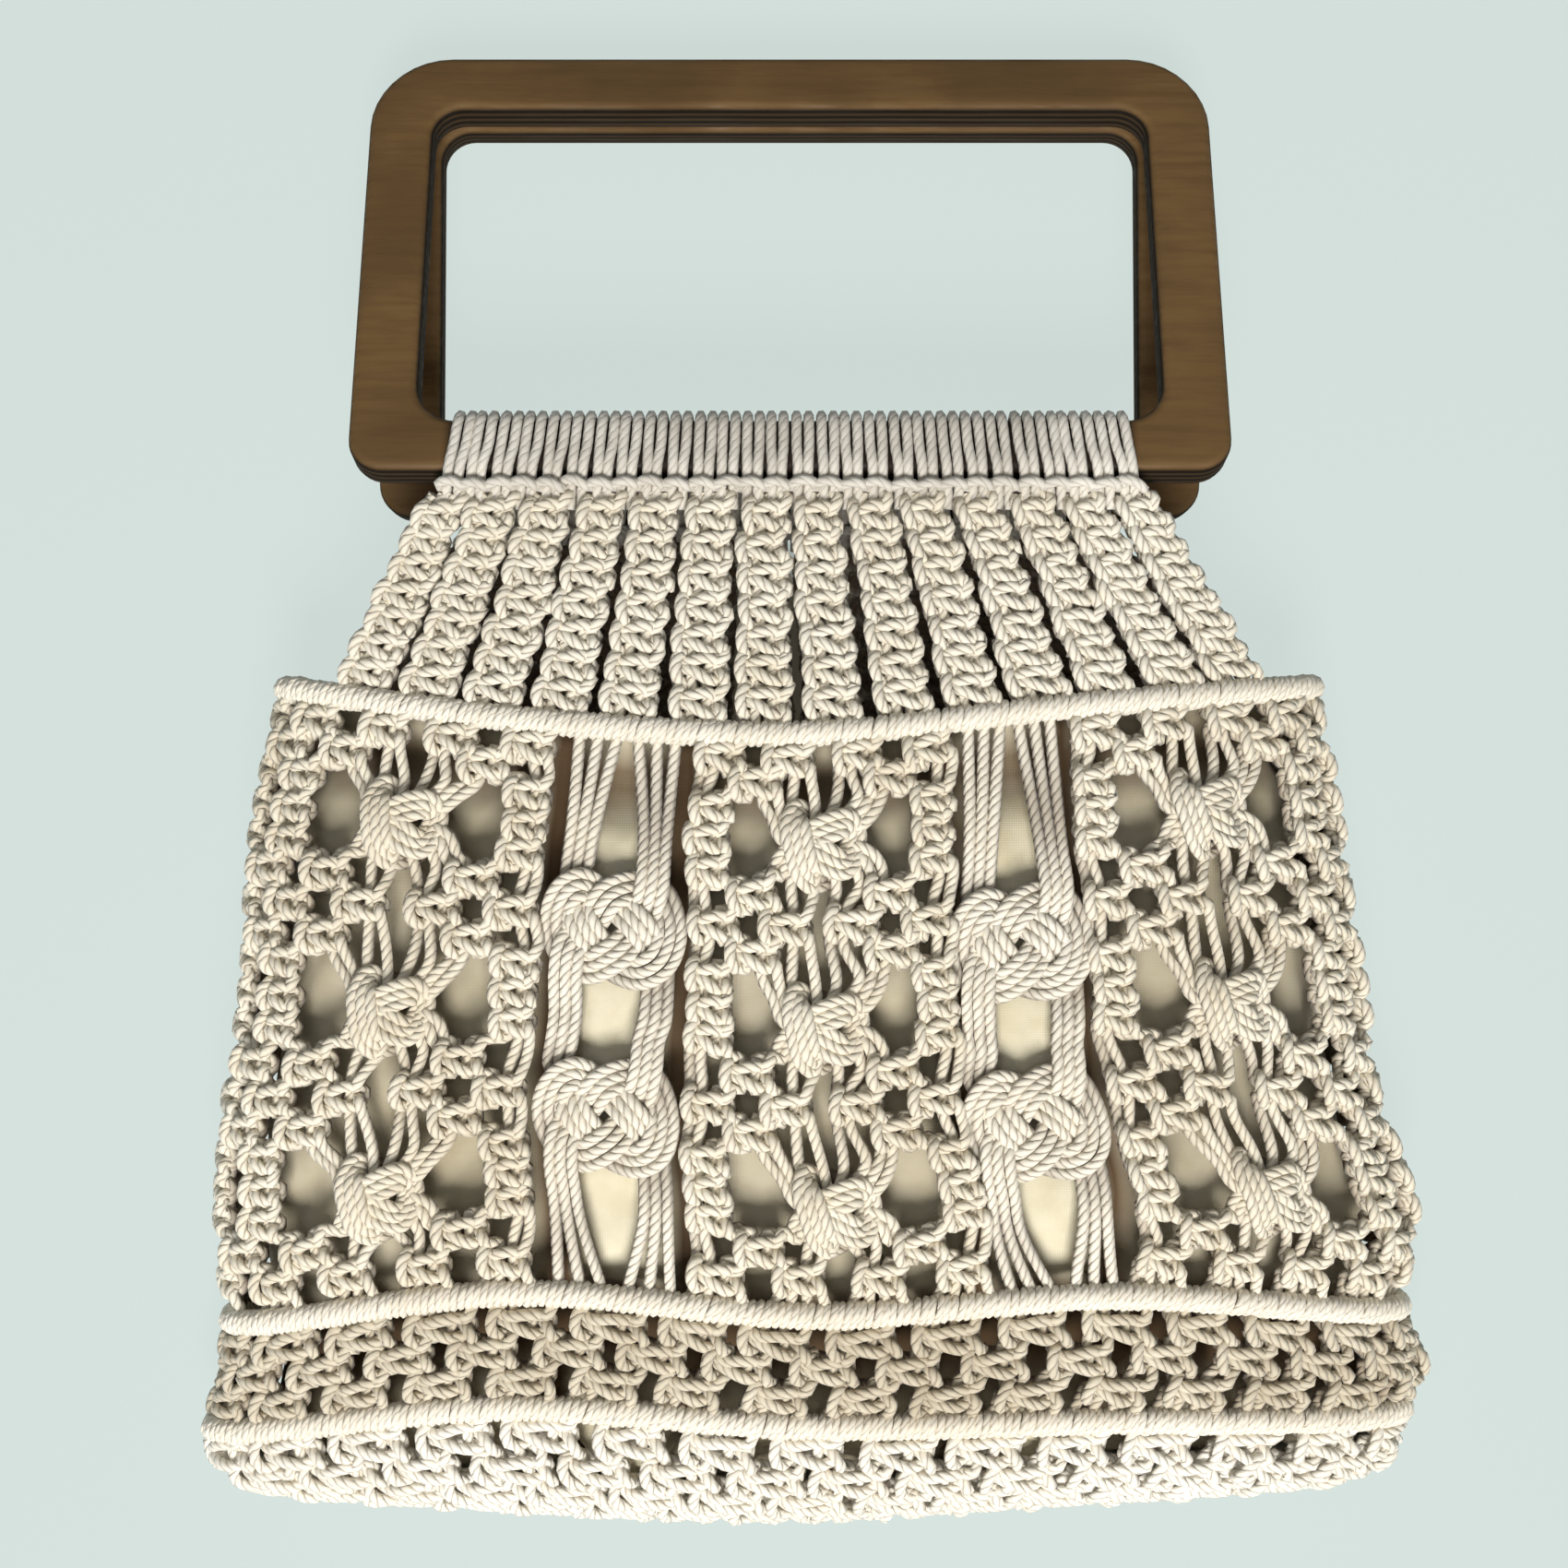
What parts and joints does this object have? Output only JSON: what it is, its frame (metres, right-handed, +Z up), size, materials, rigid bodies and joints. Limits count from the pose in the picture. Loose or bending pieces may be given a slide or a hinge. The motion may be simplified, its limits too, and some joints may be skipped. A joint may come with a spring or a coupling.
{
  "type": "macrame handbag",
  "caption": "Knotted cord handbag lying on its back, with two flat wooden frame handles, a flared net body with wrapped ridges and a cloth lining.",
  "frame": {"origin": "middle of the ground that the lying bag covers, at the lowest point", "axes": "+X across the bag to the viewer's right, +Y from the foot to the handles, +Z up from the surface it lies on, out of its front face"},
  "size_m": [0.317, 0.3819, 0.0685],
  "materials": {
    "stained_plywood": "dark brown stained and waxed plywood",
    "cotton_cord": "cream twisted cotton cord, matte",
    "wrapped_cord": "cream cotton cord wrapped tight round a core, matte",
    "lining_cloth": "plain beige cotton cloth, creased"
  },
  "bodies": {
    "root": {"handle_front": "stained_plywood", "mounting_front": "cotton_cord", "sinnet_front_01": "cotton_cord", "sinnet_front_02": "cotton_cord", "sinnet_front_03": "cotton_cord", "sinnet_front_04": "cotton_cord", "sinnet_front_05": "cotton_cord", "sinnet_front_06": "cotton_cord", "sinnet_front_07": "cotton_cord", "sinnet_front_08": "cotton_cord", "sinnet_front_09": "cotton_cord", "sinnet_front_10": "cotton_cord", "sinnet_front_11": "cotton_cord", "sinnet_front_12": "cotton_cord", "sinnet_front_13": "cotton_cord", "sinnet_front_14": "cotton_cord", "net_front_left": "cotton_cord", "net_front_centre": "cotton_cord", "net_front_right": "cotton_cord", "josephine_front_left": "cotton_cord", "josephine_front_right": "cotton_cord", "band_front": "cotton_cord", "handle_back": "stained_plywood", "mounting_back": "cotton_cord", "sinnet_back_01": "cotton_cord", "sinnet_back_02": "cotton_cord", "sinnet_back_03": "cotton_cord", "sinnet_back_04": "cotton_cord", "sinnet_back_05": "cotton_cord", "sinnet_back_06": "cotton_cord", "sinnet_back_07": "cotton_cord", "sinnet_back_08": "cotton_cord", "sinnet_back_09": "cotton_cord", "sinnet_back_10": "cotton_cord", "sinnet_back_11": "cotton_cord", "sinnet_back_12": "cotton_cord", "sinnet_back_13": "cotton_cord", "sinnet_back_14": "cotton_cord", "net_back_left": "cotton_cord", "net_back_centre": "cotton_cord", "net_back_right": "cotton_cord", "josephine_back_left": "cotton_cord", "josephine_back_right": "cotton_cord", "band_back": "cotton_cord", "ridge_top": "wrapped_cord", "ridge_middle": "wrapped_cord", "ridge_bottom": "wrapped_cord", "base_net": "cotton_cord", "lining": "lining_cloth"}
  },
  "joints": []
}
